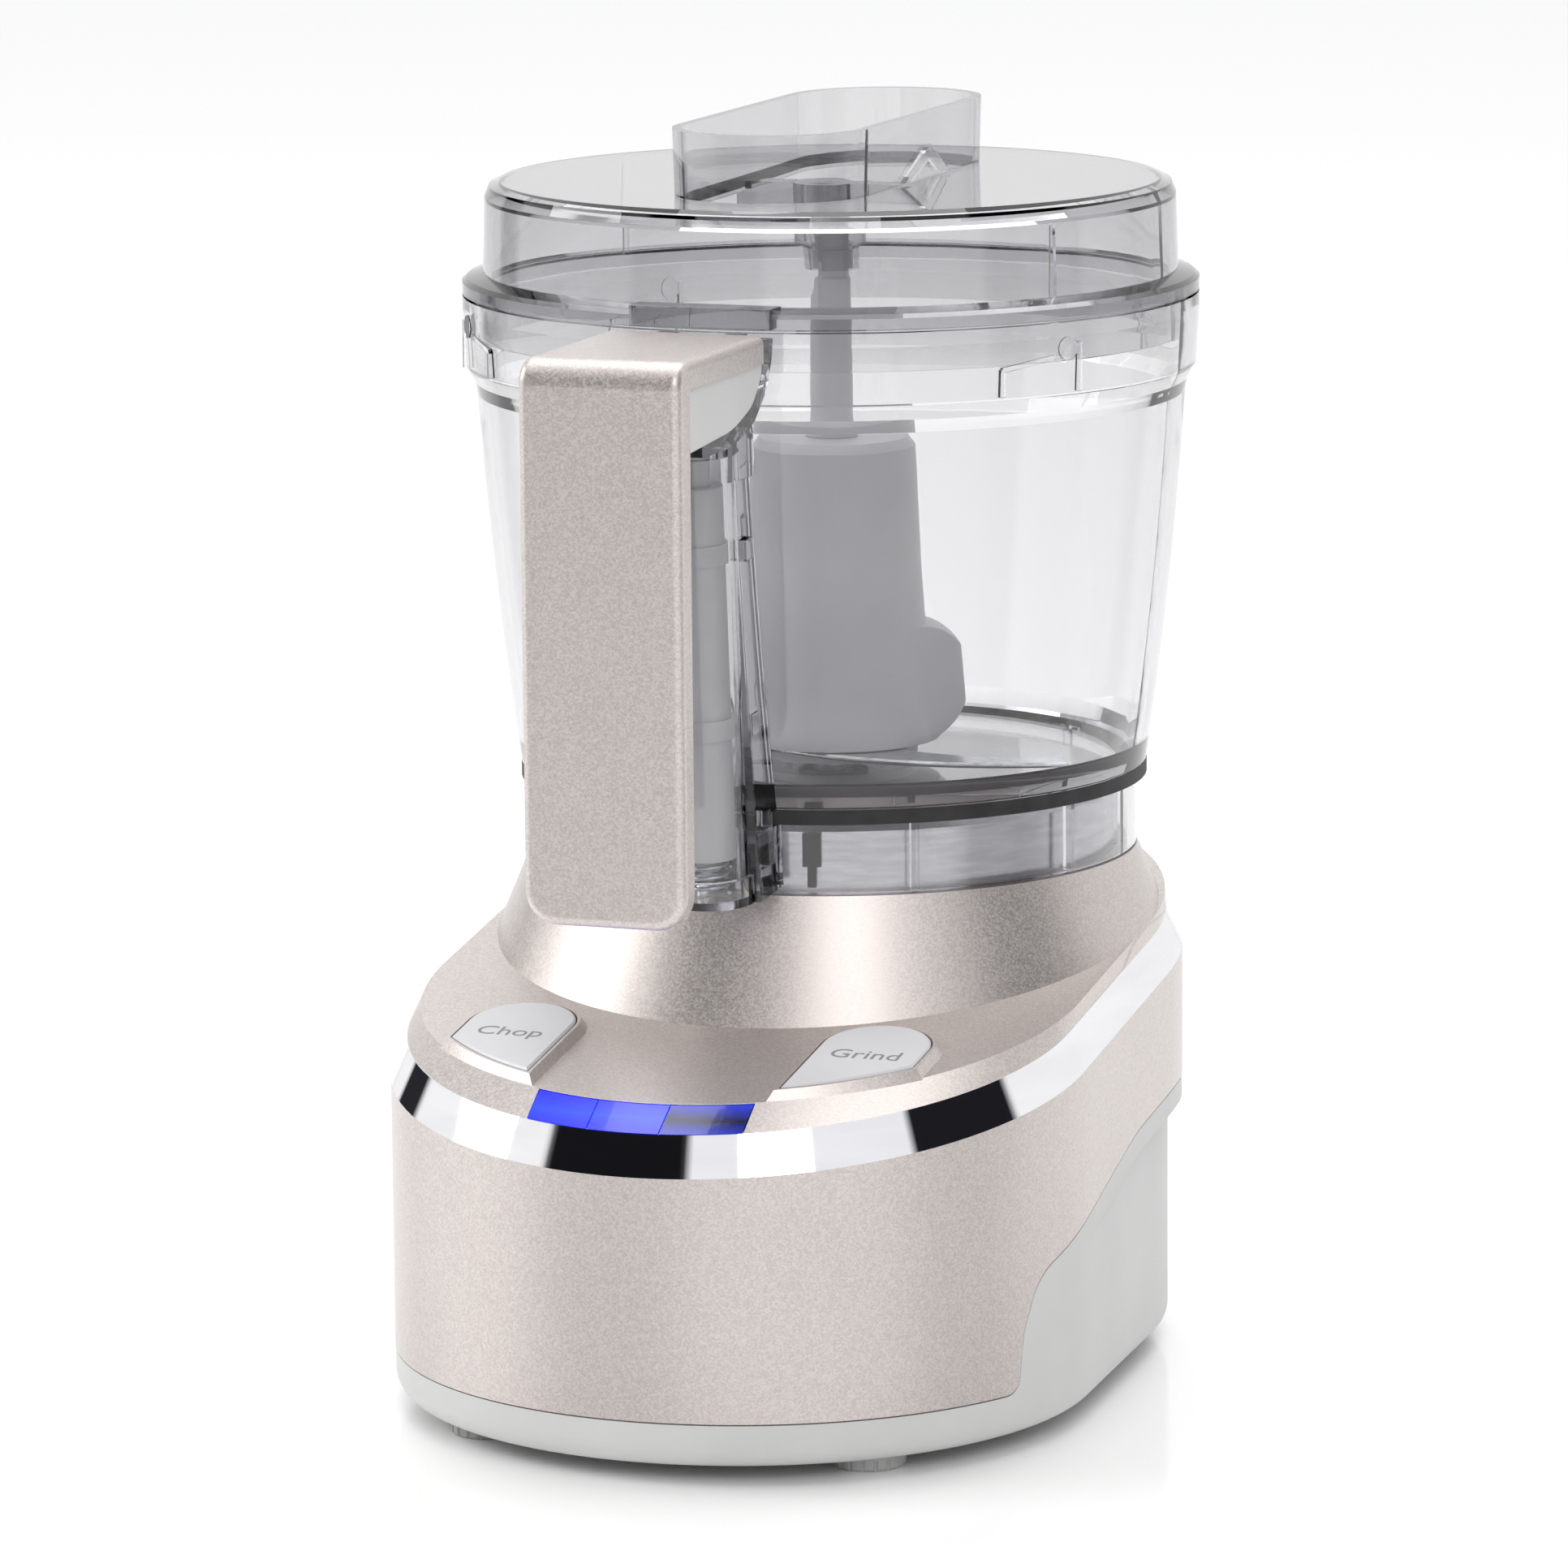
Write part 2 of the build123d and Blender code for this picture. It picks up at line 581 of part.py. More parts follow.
def gusset(grow, half_width):
    """Block under the handle arm, with the curved rear end that the bracket cradles."""
    rear = GRIP_FRONT_Y + GRIP_DEPTH
    top = GRIP_TOP_Z - GRIP_DEPTH
    outline = [
        (rear - 6.0, top + 6.0),
        (ARM_REAR_Y + grow, top + 6.0),
        (ARM_REAR_Y + grow, 209.5),
        (-62.0 + grow, 204.2 - grow),
        (-72.5, 201.0 - grow),
        (rear - 6.0, 199.2 - grow),
    ]
    return side_prism(outline, [0.3, 0.3, 5.0, 9.0, 40.0, 0.3], half_width)


def bracket():
    """Clear cradle between the rim and the handle arm, with the root of the column."""
    outline = [
        (-89.0, 204.0),
        (-89.0, 197.7),
        (-73.0, 197.6),
        (-61.0, 200.4),
        (-53.2, 206.2),
        (-50.2, 212.0),
        (-49.6, RIM_TOP_Z),
        (-70.0, RIM_TOP_Z),
    ]
    cradle = side_prism(outline, [0.3, 0.5, 30.0, 12.0, 9.0, 6.0, 0.4, 0.3], 15.7)
    cradle -= gusset(0.15, 30.0)
    cradle -= block(-30, 30, -120, ARM_REAR_Y + 0.12, GRIP_TOP_Z - 9, GRIP_TOP_Z + 5)
    root = block(-8.8, 8.8, -54.0, -36.0, 188.0, RIM_TOP_Z)
    return cradle + root


def bowl():
    """Clear bowl with skirt, interlock column and the bracket for the handle."""
    length = column_length()
    web = loft([Pos(0, 8, 0) * Rectangle(2 * WEB_FOOT, 16), Pos(0, 8, length) * Rectangle(2 * WEB_TOP, 16)])
    column = lean(web + Cylinder(COLUMN_R, length, align=(Align.CENTER, Align.CENTER, Align.MIN)))
    column += lean(column_block(COLUMN_R + 1.2, 0, 5.5, 12.0))
    for side in (-1, 1):
        for height in RING_HEIGHTS:
            column += lean(Pos(side * (WEB_TOP + 0.9), 3.4, height) * Box(3.0, 3.6, 4.2))
    column += bracket()
    keep_out = revolve_profile([
        (0, 90), (SKIRT_R - 1, 90), (SKIRT_R - 1, FLOOR_Z), (wall_radius(121.0) - 1, 121.0),
        (wall_radius(156.0) - 1, 156.0), (wall_radius(196.0) - 1, 196.0),
        (72.4, 202.0), (72.6, 230.0), (0, 230.0),
    ])
    column -= keep_out
    column -= block(-30, 30, -80, -20, 60, SKIRT_FOOT_Z)
    shell = bowl_shell() + column
    shell -= lean(column_block(COLUMN_BORE_R, 1.2, length - 6.0, 0.01))
    head_room = Cylinder(HEAD_R + 0.6, 60, align=(Align.CENTER, Align.CENTER, Align.MIN))
    shell -= lean(Pos(0, 0, length - 10.0) * head_room)
    shell -= block(-4.9, 4.9, -58.5, AXIS_Y - RIM_R - 0.1, 207.0, RIM_TOP_Z + 5)
    shell -= block(-FOOT_HALF_WIDTH - 0.6, FOOT_HALF_WIDTH + 0.6, -46.0, -24.0, FOOT_LOW_Z - 4.2, 117.0)
    for x in SCREW_X:
        shell -= Pos(x, -54.0, SCREW_Z) * Rot(90, 0, 0) * Cylinder(1.5, 12.0)
        shell -= Pos(x, -47.5, SCREW_Z) * Rot(90, 0, 0) * Cylinder(2.9, 5.1)
    for part in rim_details():
        shell += part
    for turn in range(10):
        rib = Pos(58.6, 0, 111.0) * Box(1.6, 1.6, 14.0)
        azimuth = -55.3 + 36 * turn
        if abs(azimuth % 360 - 270) > 8:
            shell += at_axis() * Rot(0, 0, azimuth) * rib
    return shell - tube(wall_radius(121.0) + 2.5, SKIRT_R, FLOOR_Z - 0.25, FLOOR_TOP_Z)


def floor_ring():
    """Dark ring that seals and cushions the outer edge of the bowl floor."""
    return tube(wall_radius(121.0) + 0.05, SKIRT_R + 0.02, FLOOR_Z - 0.2, FLOOR_TOP_Z - 0.05)


def handle_cover():
    """Silver cover that folds over the grip and the arm."""
    grip = block(-GRIP_HALF_WIDTH, GRIP_HALF_WIDTH, GRIP_FRONT_Y, GRIP_FRONT_Y + GRIP_DEPTH,
                 GRIP_FOOT_Z, GRIP_TOP_Z)
    arm = block(-GRIP_HALF_WIDTH, GRIP_HALF_WIDTH, GRIP_FRONT_Y, ARM_REAR_Y,
                GRIP_TOP_Z - GRIP_DEPTH, GRIP_TOP_Z)
    cover = grip + arm
    foot_edges = cover.edges().filter_by(Axis.Y).group_by(Axis.Z)[0]
    cover = fillet(foot_edges, 6.5)
    top_front = cover.edges().filter_by(Axis.X).filter_by(
        lambda e: e.center().Y < GRIP_FRONT_Y + 0.1 and e.center().Z > GRIP_TOP_Z - 0.1)
    cover = fillet(top_front, 5.0)
    front_loop = cover.faces().sort_by(Axis.Y)[0].edges()
    side_edges = cover.faces().sort_by(Axis.Z)[-1].edges().filter_by(Axis.Y)
    cover = fillet(front_loop.filter_by(lambda e: e.center().Z < GRIP_TOP_Z - 6) + side_edges, 1.8)
    hollow = block(-13.8, 13.8, GRIP_FRONT_Y + 2.4, GRIP_FRONT_Y + 30, GRIP_FOOT_Z + 3.0, GRIP_TOP_Z - 2.6)
    hollow += block(-13.8, 13.8, GRIP_FRONT_Y + 2.4, ARM_REAR_Y + 9, GRIP_TOP_Z - 15.0, GRIP_TOP_Z - 2.6)
    return cover - hollow


def handle_liner():
    """Light grey inner half of the handle: grip back and gusset under the arm."""
    rear = GRIP_FRONT_Y + GRIP_DEPTH
    outer = block(-40, 40, rear, ARM_REAR_Y, 190, GRIP_TOP_Z - GRIP_DEPTH)
    body = (gusset(0.0, 15.9) - block(-40, 40, -130, rear, 100, 230)) & outer
    grip = block(-14.2, 14.2, rear, rear + 4.6, GRIP_FOOT_Z + 1.5, 203.0)
    body += fillet(grip.edges().filter_by(Axis.Z).group_by(Axis.Y)[-1], 3.5)
    body += block(-13.6, 13.6, GRIP_FRONT_Y + 2.5, rear + 1.0, GRIP_FOOT_Z + 3.2, GRIP_TOP_Z - 2.8)
    body += block(-13.6, 13.6, GRIP_FRONT_Y + 2.5, ARM_REAR_Y, GRIP_TOP_Z - 9.0, GRIP_TOP_Z - 2.8)
    core = block(-10.5, 10.5, GRIP_FRONT_Y + 4.5, rear + 2.4, GRIP_FOOT_Z + 6.0, 204.0)
    for x in SCREW_X:
        body -= Pos(x, -60.0, SCREW_Z) * Rot(90, 0, 0) * Cylinder(1.45, 14.0)
    return body - core


def handle_screws():
    """Two screws that hold the arm to the bowl's bracket."""
    solids = []
    for x in SCREW_X:
        shank = Pos(x, -57.6, SCREW_Z) * Rot(90, 0, 0) * Cylinder(1.4, 16.0)
        head = Pos(x, -49.3, SCREW_Z) * Rot(90, 0, 0) * Cylinder(2.6, 1.4)
        solids.append(shank + head)
    return solids


def interlock_rod():
    """Rod inside the column, with a head under the lid's tab and a foot over the switch."""
    length = column_length()
    upwards = (Align.CENTER, Align.CENTER, Align.MIN)
    rod = Pos(0, 0, 8.8) * Cylinder(ROD_R, length - 20.8, align=upwards)
    for height in RING_HEIGHTS:
        rod += Pos(0, 0, height) * Cylinder(ROD_R + 0.6, 4.0)
    rod += Pos(0, 0, 6.2) * Cylinder(2.4, 4.0, align=upwards)
    rod += Pos(0, 0, length - 14) * Cylinder(HEAD_R, 28.0, align=upwards)
    rod = lean(rod)
    rod -= block(-9, 9, -70, -40, 212.5, 240) + block(-9, 9, -70, -55.9, 190, 240)
    rod += block(-4.2, 4.2, -55.9, AXIS_Y - RIM_R - 0.6, 212.0, 215.2)
    rod += block(-FOOT_HALF_WIDTH, FOOT_HALF_WIDTH, -45.0, -24.6, FOOT_LOW_Z, FOOT_LOW_Z + 2.3)
    return rod


def rod_spring():
    """Small return spring under the rod."""
    path = Helix(pitch=2.0, height=6.0, radius=4.0)
    wire = sweep(Plane(path @ 0, z_dir=path % 0) * Circle(0.4), path=path)
    return lean(Pos(0, 0, 1.8) * wire)


# --------------------------------------------------------------------- blade


def lobe_plan(z, shrink):
    """Teardrop section of a paddle: a circle round the hub drawn out to a blunt tip."""
    circles = Circle(20.8 - shrink) + Pos(24.8 - 0.6 * shrink, 0) * Circle(2.6)
    return Pos(0, 0, z) * make_hull(circles.edges())


def blade_hub():
    """Hollow hub that drops over the post, with two paddles at its foot."""
    profile = [(0, 186.5), (15.4, 186.5), (16.9, 184.6), (18.0, 158.5), (19.0, 144.5), (20.2, 133.0),
               (21.6, 127.0), (21.6, 125.3), (12.0, 125.3), (12.0, 166.0), (0, 166.0)]
    hub = revolve_profile(profile)
    side_view = Plane.XZ * Pos(13.9, 136.9) * RectangleRounded(27.0, 23.2, 10.5)
    side_view = extrude(side_view, amount=26.0, both=True)
    lobe = loft([lobe_plan(125.0, 0.0), lobe_plan(149.0, 3.3)]) & side_view
    for turn in (PADDLE_TURN, PADDLE_TURN + 180):
        hub += (at_axis() * Rot(0, 0, turn) * lobe) - cyl(15.0, 120, 160)
    socket = extrude(RegularPolygon(SPINDLE_R + 0.36, 6), amount=14.0)
    return hub - at_axis(164.5) * socket


def blade_stem():
    """Slim stem from the hub up into the lid's centre boss."""
    return revolve_profile([
        (0, 186.6), (5.4, 186.6), (4.4, 192.5), (4.0, 219.0),
        (3.7, 219.6), (3.7, 229.0), (2.6, 230.5), (0, 230.5)])


def knife(turn, z_low):
    """One curved steel knife with a bevelled leading edge."""
    front = ThreePointArc((-13.0, -12.0), (14.0, -23.0), (54.5, -15.5))
    tip = Line((54.5, -15.5), (50.0, -11.0))
    back = ThreePointArc((50.0, -11.0), (22.0, -12.5), (8.0, -4.0))
    root = Line((8.0, -4.0), (-13.0, -12.0))
    shape = extrude(make_face([front, tip, back, root]), amount=1.1)
    return at_axis(z_low) * Rot(0, 0, turn) * (shape - Cylinder(12.4, 10))


def knife_collar():
    """Ring that clamps the knives under the hub."""
    return tube(17.0, 12.0, 122.2, 123.9)


# ----------------------------------------------------------------------- lid


def chute(z_low, z_high, grow):
    """Stadium block along Y for the feed tube, wider at its top."""
    sections = []
    for z in (z_low, z_high):
        draft = CHUTE_DRAFT * (z - LID_TOP_Z) / (CHUTE_TOP_Z - LID_TOP_Z)
        spread = 2 * (CHUTE_HALF_LENGTH - CHUTE_HALF_WIDTH)
        outline = SlotCenterToCenter(spread, 2 * (CHUTE_HALF_WIDTH + grow + draft), rotation=90)
        sections.append(at_axis(z) * outline)
    return loft(sections)


def lid():
    """Clear lid with its flange, front tab, feed tube and centre boss."""
    profile = [
        (0, LID_TOP_Z), (LID_R - 3.0, LID_TOP_Z), (LID_R - 0.9, LID_TOP_Z - 0.9), (LID_R, LID_TOP_Z - 3.0),
        (LID_R + 0.5, FLANGE_TOP_Z + 1.0), (RIM_R - 1.0, FLANGE_TOP_Z), (RIM_R, FLANGE_TOP_Z - 0.8),
        (RIM_R, LID_FOOT_Z), (70.9, LID_FOOT_Z), (70.6, 208.0), (68.6, 208.0), (68.2, LID_FOOT_Z),
        (LID_R - 2.2, LID_TOP_Z - 4.0), (LID_R - 4.0, LID_TOP_Z - 2.4), (0, LID_TOP_Z - 2.4),
    ]
    body = revolve_profile(profile)
    tab = block(-14.5, 14.5, AXIS_Y - 77.0, AXIS_Y - 70.0, LID_FOOT_Z + 0.6, LID_FOOT_Z + 4.6)
    body += fillet(tab.edges().filter_by(Axis.Z).group_by(Axis.Y)[0], 1.2)
    body += chute(LID_TOP_Z - 3.0, CHUTE_TOP_Z, 0.0)
    body -= chute(LID_TOP_Z - 8.0, CHUTE_TOP_Z + 5, -CHUTE_WALL)
    for azimuth in SEAM_AZIMUTHS:
        seam = Pos(LID_R - 2.3, 0, 226.5) * Box(1.4, 0.7, 15.0)
        body += at_axis() * Rot(0, 0, azimuth) * seam
    boss = tube(7.2, 4.6, 226.0, LID_TOP_Z - 1.0) + tube(5.8, 4.6, 221.0, 227.0)
    bridge = block(-CHUTE_HALF_WIDTH, CHUTE_HALF_WIDTH, AXIS_Y - 3, AXIS_Y + 3, 231.5, LID_TOP_Z - 1.0)
    return body + ((boss + bridge) - cyl(4.6, 200, 231.5)) - cyl(4.6, 200, 231.5)


def lid_mark():
    """Raised chevron on the side of the feed tube that shows the locking side."""
    left = ((14.7, 239.0), (30.3, 245.4), (30.3, 242.6), (19.0, 239.0))
    right = ((42.4, 239.0), (30.3, 245.4), (30.3, 242.6), (38.0, 239.0))
    mark = None
    for corners in (left, right):
        face = Plane.YZ.offset(CHUTE_HALF_WIDTH) * make_face(Polyline(*corners, close=True))
        bar = extrude(face, amount=1.2)
        mark = bar if mark is None else mark + bar
    return mark - chute(LID_TOP_Z - 8.0, CHUTE_TOP_Z + 5, 0.02)


def stem_bush():
    """Small bush in the lid's boss that steadies the stem."""
    return tube(4.58, 3.75, 221.2, 225.0)


def write(name, shape):
    """Write one piece, or a group of like solids, to its own file."""
    if isinstance(shape, (list, tuple)):
        pieces = [part if isinstance(part, Solid) else Compound(part.wrapped) for part in shape]
        shape = Compound(children=pieces)
    export_step(shape, os.path.join("parts", name + ".step"))


def main():
    """Build every piece and write it."""
    os.makedirs("parts", exist_ok=True)
    pieces = {
        "lower_shell": lower_shell,
        "rear_casing": rear_casing,
        "bottom_cover": bottom_cover,
        "chrome_trim": chrome_trim,
        "upper_housing": upper_housing,
        "bowl_seat": bowl_seat,
        "spindle_bush": spindle_bush,
        "spindle_seal": spindle_seal,
        "motor_can": motor_can,
        "motor_pinion": motor_pinion,
        "drive_gear": drive_gear,
        "drive_spindle": drive_spindle,
        "gear_plate": gear_plate,
        "lower_bearing": lower_bearing,
        "chassis": chassis,
        "battery_cells": battery_cells,
        "battery_holder": battery_holder,
        "control_board": control_board,
        "button_switches": button_switches,
        "charging_jack": charging_jack,
        "cover_screws": cover_screws,
        "plate_screws": plate_screws,
        "feet": feet,
        "bowl": bowl,
        "floor_ring": floor_ring,
        "handle_cover": handle_cover,
        "handle_liner": handle_liner,
        "handle_screws": handle_screws,
        "interlock_rod": interlock_rod,
        "rod_spring": rod_spring,
        "blade_hub": blade_hub,
        "blade_stem": blade_stem,
        "knife_collar": knife_collar,
        "lid": lid,
        "safety_switch": safety_switch,
        "lock_catch": lock_catch,
        "lid_mark": lid_mark,
        "stem_bush": stem_bush,
    }
    for name, build in pieces.items():
        write(name, build())
    for name, side in (("button_left", -1), ("button_right", 1)):
        write(name, button_cap(side))
    for index, name in enumerate(("indicator_left", "indicator_middle", "indicator_right")):
        write(name, indicator_segment(index))
    write("knife_front", knife(0.0, 124.0))
    write("knife_rear", knife(180.0, 124.0))


main()
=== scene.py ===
"""Looks, lettering and studio for the cordless mini food processor, in metres."""

import json
from math import cos, pi, radians, sin

import bpy
from mathutils import Matrix, Vector

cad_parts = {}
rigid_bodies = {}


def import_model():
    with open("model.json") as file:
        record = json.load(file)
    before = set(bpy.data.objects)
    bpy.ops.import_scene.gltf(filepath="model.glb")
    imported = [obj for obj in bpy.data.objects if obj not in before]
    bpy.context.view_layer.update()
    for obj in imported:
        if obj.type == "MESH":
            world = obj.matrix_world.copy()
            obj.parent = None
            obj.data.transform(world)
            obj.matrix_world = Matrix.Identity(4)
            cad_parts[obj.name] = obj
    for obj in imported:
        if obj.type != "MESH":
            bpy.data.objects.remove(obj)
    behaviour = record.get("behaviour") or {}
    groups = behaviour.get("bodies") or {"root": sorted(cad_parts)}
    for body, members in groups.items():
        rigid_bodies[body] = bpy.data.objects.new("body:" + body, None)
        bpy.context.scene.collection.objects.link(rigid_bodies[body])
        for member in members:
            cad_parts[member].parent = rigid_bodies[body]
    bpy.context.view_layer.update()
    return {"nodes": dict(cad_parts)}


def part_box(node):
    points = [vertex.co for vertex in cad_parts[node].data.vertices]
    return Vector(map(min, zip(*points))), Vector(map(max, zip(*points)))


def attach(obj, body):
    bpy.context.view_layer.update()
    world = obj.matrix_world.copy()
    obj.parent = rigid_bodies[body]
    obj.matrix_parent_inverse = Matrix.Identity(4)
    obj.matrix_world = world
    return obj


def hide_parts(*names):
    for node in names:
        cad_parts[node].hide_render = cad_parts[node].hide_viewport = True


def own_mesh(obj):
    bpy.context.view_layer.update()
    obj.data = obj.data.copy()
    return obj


bl_info = {
    "name": "Mini Food Processor",
    "version": (1, 0, 0),
    "blender": (4, 5, 0),
    "location": "3D View > Sidebar > Processor",
    "description": "Finishes, button lettering and studio for a cordless mini food processor",
    "category": "Object",
}

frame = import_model()
NODES = frame["nodes"]

MM = 0.001
DECK_TILT = radians(9.0)
MERGE_DISTANCE = 0.001 * MM
FLAT_ANGLE = radians(0.8)
SHARP_ANGLE = radians(32)
FLAKE_SIZE = 0.34 * MM
FLAKE_SHARE = 0.8  # how far single flakes set the paint's colour; broad clouds do the rest
CLOUD_SHARE = 0.2
CLEAR_PLASTIC_IOR = 1.5
WORD_PLACE = 0.52  # share of a button's depth at which its word is centred
INK_LIFT = 0.6  # height of the ink's middle over the button, in thicknesses of ink
FLOOR_MIDDLE_Y = 2.5
LIGHT_AIM_Z = 0.12
CEILING_SINES = (0.70, 0.95)  # sines of the heights between which walls turn to ceiling
# Shade of the room round the horizon, from its left side by way of the front
ROOM_BANDS = [
    (0.00, "ffffff"), (0.108, "ffffff"), (0.114, "17171a"), (0.238, "17171a"), (0.246, "f8f8fa"),
    (0.446, "f8f8fa"), (0.452, "1e1e22"), (0.556, "1e1e22"), (0.564, "ffffff"), (0.908, "ffffff"),
    (0.914, "2a2a2e"), (0.946, "2a2a2e"), (0.954, "ffffff"),
]


# ------------------------------------------------------------------ helpers


def srgb(hex_code):
    """Linear RGBA from an sRGB hex code such as "c8c1be"."""
    channels = [int(hex_code[i:i + 2], 16) / 255 for i in (0, 2, 4)]
    linear = [c / 12.92 if c <= 0.04045 else ((c + 0.055) / 1.055) ** 2.4 for c in channels]
    return (*linear, 1.0)


def add(tree, kind, values=None, links=None, **settings):
    """Add a node, set its properties and sockets, and link sources into it."""
    node = tree.nodes.new(kind)
    for name, value in settings.items():
        setattr(node, name, value)
    for socket, value in (values or {}).items():
        node.inputs[socket].default_value = value
    for socket, source in (links or {}).items():
        tree.links.new(source, node.inputs[socket])
    return node


def new_material(name):
    """Empty material with an output node; returns the material, its tree and object coordinates."""
    material = bpy.data.materials.new(name)
    material.use_nodes = True
    tree = material.node_tree
    tree.nodes.clear()
    coordinates = add(tree, "ShaderNodeTexCoord").outputs["Object"]
    return material, tree, coordinates


def close_material(tree, shader):
    """Link the finished shader to the output."""
    add(tree, "ShaderNodeOutputMaterial", links={"Surface": shader})


def ramp(tree, source, stops):
    """Colour ramp from (position, hex) stops."""
    node = add(tree, "ShaderNodeValToRGB", links={"Fac": source})
    while len(node.color_ramp.elements) < len(stops):
        node.color_ramp.elements.new(0.5)
    for element, (position, code) in zip(node.color_ramp.elements, stops):
        element.position = position
        element.color = srgb(code)
    return node.outputs["Color"]


def remap(tree, source, low, high):
    """A 0 to 1 value stretched to a new range."""
    node = add(tree, "ShaderNodeMapRange", {"To Min": low, "To Max": high}, {"Value": source})
    return node.outputs["Result"]


def noise(tree, coordinates, size_mm, detail=2.0):
    """Cloudy 0 to 1 value whose patches are about size_mm across."""
    values = {"Scale": 1 / (size_mm * MM), "Detail": detail}
    return add(tree, "ShaderNodeTexNoise", values, {"Vector": coordinates}).outputs["Fac"]


def relief(tree, height, strength, depth_mm):
    """Normals of a fine relief that follows a 0 to 1 value."""
    values = {"Strength": strength, "Distance": depth_mm * MM}
    return add(tree, "ShaderNodeBump", values, {"Height": height}).outputs["Normal"]


# ---------------------------------------------------------------- materials


def metallic_paint():
    """Pearl champagne paint on moulded ABS: fine aluminium flakes under a clear coat.

    The flakes glint at slightly different angles, so the surface looks grainy.
    """
    material, tree, coordinates = new_material("champagne_metallic_paint")
    flakes = add(tree, "ShaderNodeTexVoronoi", {"Scale": 1 / FLAKE_SIZE}, {"Vector": coordinates})
    parts = add(tree, "ShaderNodeSeparateColor", links={"Color": flakes.outputs["Color"]})
    shade = parts.outputs["Red"]
    cloud = noise(tree, coordinates, 35)
    mottled = add(tree, "ShaderNodeMath", {1: FLAKE_SHARE}, {0: shade}, operation="MULTIPLY")
    blend = add(tree, "ShaderNodeMath", {1: CLOUD_SHARE}, {0: cloud, 2: mottled.outputs[0]},
                operation="MULTIPLY_ADD").outputs[0]
    colour = ramp(tree, blend, [(0.0, "bfb6b2"), (0.5, "cec6c2"), (1.0, "dcd5d1")])
    shader = add(tree, "ShaderNodeBsdfPrincipled",
                 {"Metallic": 0.74, "Coat Weight": 0.25, "Coat Roughness": 0.18},
                 {"Base Color": colour, "Roughness": remap(tree, shade, 0.36, 0.46),
                  "Normal": relief(tree, shade, 0.05, 0.03)})
    close_material(tree, shader.outputs[0])
    return material


def grained_plastic(name, base, dark, grain_mm, rough):
    """Injection-moulded ABS with a fine spark-eroded grain, so highlights are broad and soft."""
    material, tree, coordinates = new_material(name)
    grain = noise(tree, coordinates, grain_mm, 4.0)
    colour = ramp(tree, noise(tree, coordinates, 28, 3.0), [(0.3, dark), (0.7, base)])
    shader = add(tree, "ShaderNodeBsdfPrincipled",
                 links={"Base Color": colour,
                        "Roughness": remap(tree, grain, rough - 0.05, rough + 0.07),
                        "Normal": relief(tree, grain, 0.16, 0.04)})
    close_material(tree, shader.outputs[0])
    return material


def polished_metal(name, base, dark, rough, streak_mm):
    """Plated, turned or ground metal, with faint wipe marks in its colour and its sharpness."""
    material, tree, coordinates = new_material(name)
    turned = add(tree, "ShaderNodeMapping", {"Scale": (1.0, 1.0, 7.0)}, {"Vector": coordinates})
    streaks = noise(tree, turned.outputs["Vector"], streak_mm, 3.0)
    colour = ramp(tree, streaks, [(0.3, dark), (0.7, base)])
    shader = add(tree, "ShaderNodeBsdfPrincipled", {"Metallic": 1.0},
                 {"Base Color": colour,
                  "Roughness": remap(tree, streaks, rough * 0.7, rough * 1.3)})
    close_material(tree, shader.outputs[0])
    return material


def clear_plastic(name, tint, density, film):
    """Polished SAN, tinted through its depth, so it darkens where light runs along the wall.

    Light reaches what is inside through a plain tinted film for shadow rays.
    """
    material, tree, coordinates = new_material(name)
    haze = remap(tree, noise(tree, coordinates, 18), 0.0, 0.03)
    glass = add(tree, "ShaderNodeBsdfPrincipled",
                {"Base Color": srgb("ffffff"), "Transmission Weight": 1.0, "IOR": CLEAR_PLASTIC_IOR},
                {"Roughness": haze})
    clear = add(tree, "ShaderNodeBsdfTransparent", {"Color": srgb(film)})
    path = add(tree, "ShaderNodeLightPath").outputs["Is Shadow Ray"]
    mixed = add(tree, "ShaderNodeMixShader",
                links={0: path, 1: glass.outputs[0], 2: clear.outputs[0]})
    depth = add(tree, "ShaderNodeVolumeAbsorption", {"Color": srgb(tint), "Density": density})
    add(tree, "ShaderNodeOutputMaterial",
        links={"Surface": mixed.outputs[0], "Volume": depth.outputs[0]})
    return material


def moulded_rubber(name, base, dark, rough):
    """Moulded rubber: matt, with a dusty bloom that lightens it in soft patches."""
    material, tree, coordinates = new_material(name)
    bloom = noise(tree, coordinates, 6, 5.0)
    colour = ramp(tree, bloom, [(0.35, dark), (0.75, base)])
    shader = add(tree, "ShaderNodeBsdfPrincipled", {"Roughness": rough},
                 {"Base Color": colour, "Normal": relief(tree, bloom, 0.25, 0.06)})
    close_material(tree, shader.outputs[0])
    return material


def lit_lens(name, core, edge, power):
    """Tinted light pipe over a diode: the core colour at mid height, the edge colour at the rims, both
    emitted; on an unlit lens this glow is painted light.
    """
    material, tree, coordinates = new_material(name)
    low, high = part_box("indicator_middle")
    height = add(tree, "ShaderNodeSeparateXYZ", links={"Vector": coordinates}).outputs["Z"]
    span = {"From Min": low[2], "From Max": high[2]}
    share = add(tree, "ShaderNodeMapRange", span, {"Value": height})
    colour = ramp(tree, share.outputs["Result"], [(0.0, edge), (0.5, core), (1.0, edge)])
    grain = remap(tree, noise(tree, coordinates, 2.2), 0.12, 0.25)
    shader = add(tree, "ShaderNodeBsdfPrincipled",
                 {"Coat Weight": 0.6, "Emission Strength": power},
                 {"Base Color": colour, "Emission Color": colour, "Roughness": grain})
    close_material(tree, shader.outputs[0])
    return material


def dress(material, slot_nodes):
    """Give one material to CAD nodes."""
    for node in slot_nodes:
        holder = NODES[node]
        if not holder.material_slots:
            holder.data.materials.append(material)
        for slot in holder.material_slots:
            slot.material = material


def deselect():
    """Leave nothing selected, so the next operator acts on its own object only."""
    bpy.ops.object.select_all(action="DESELECT")


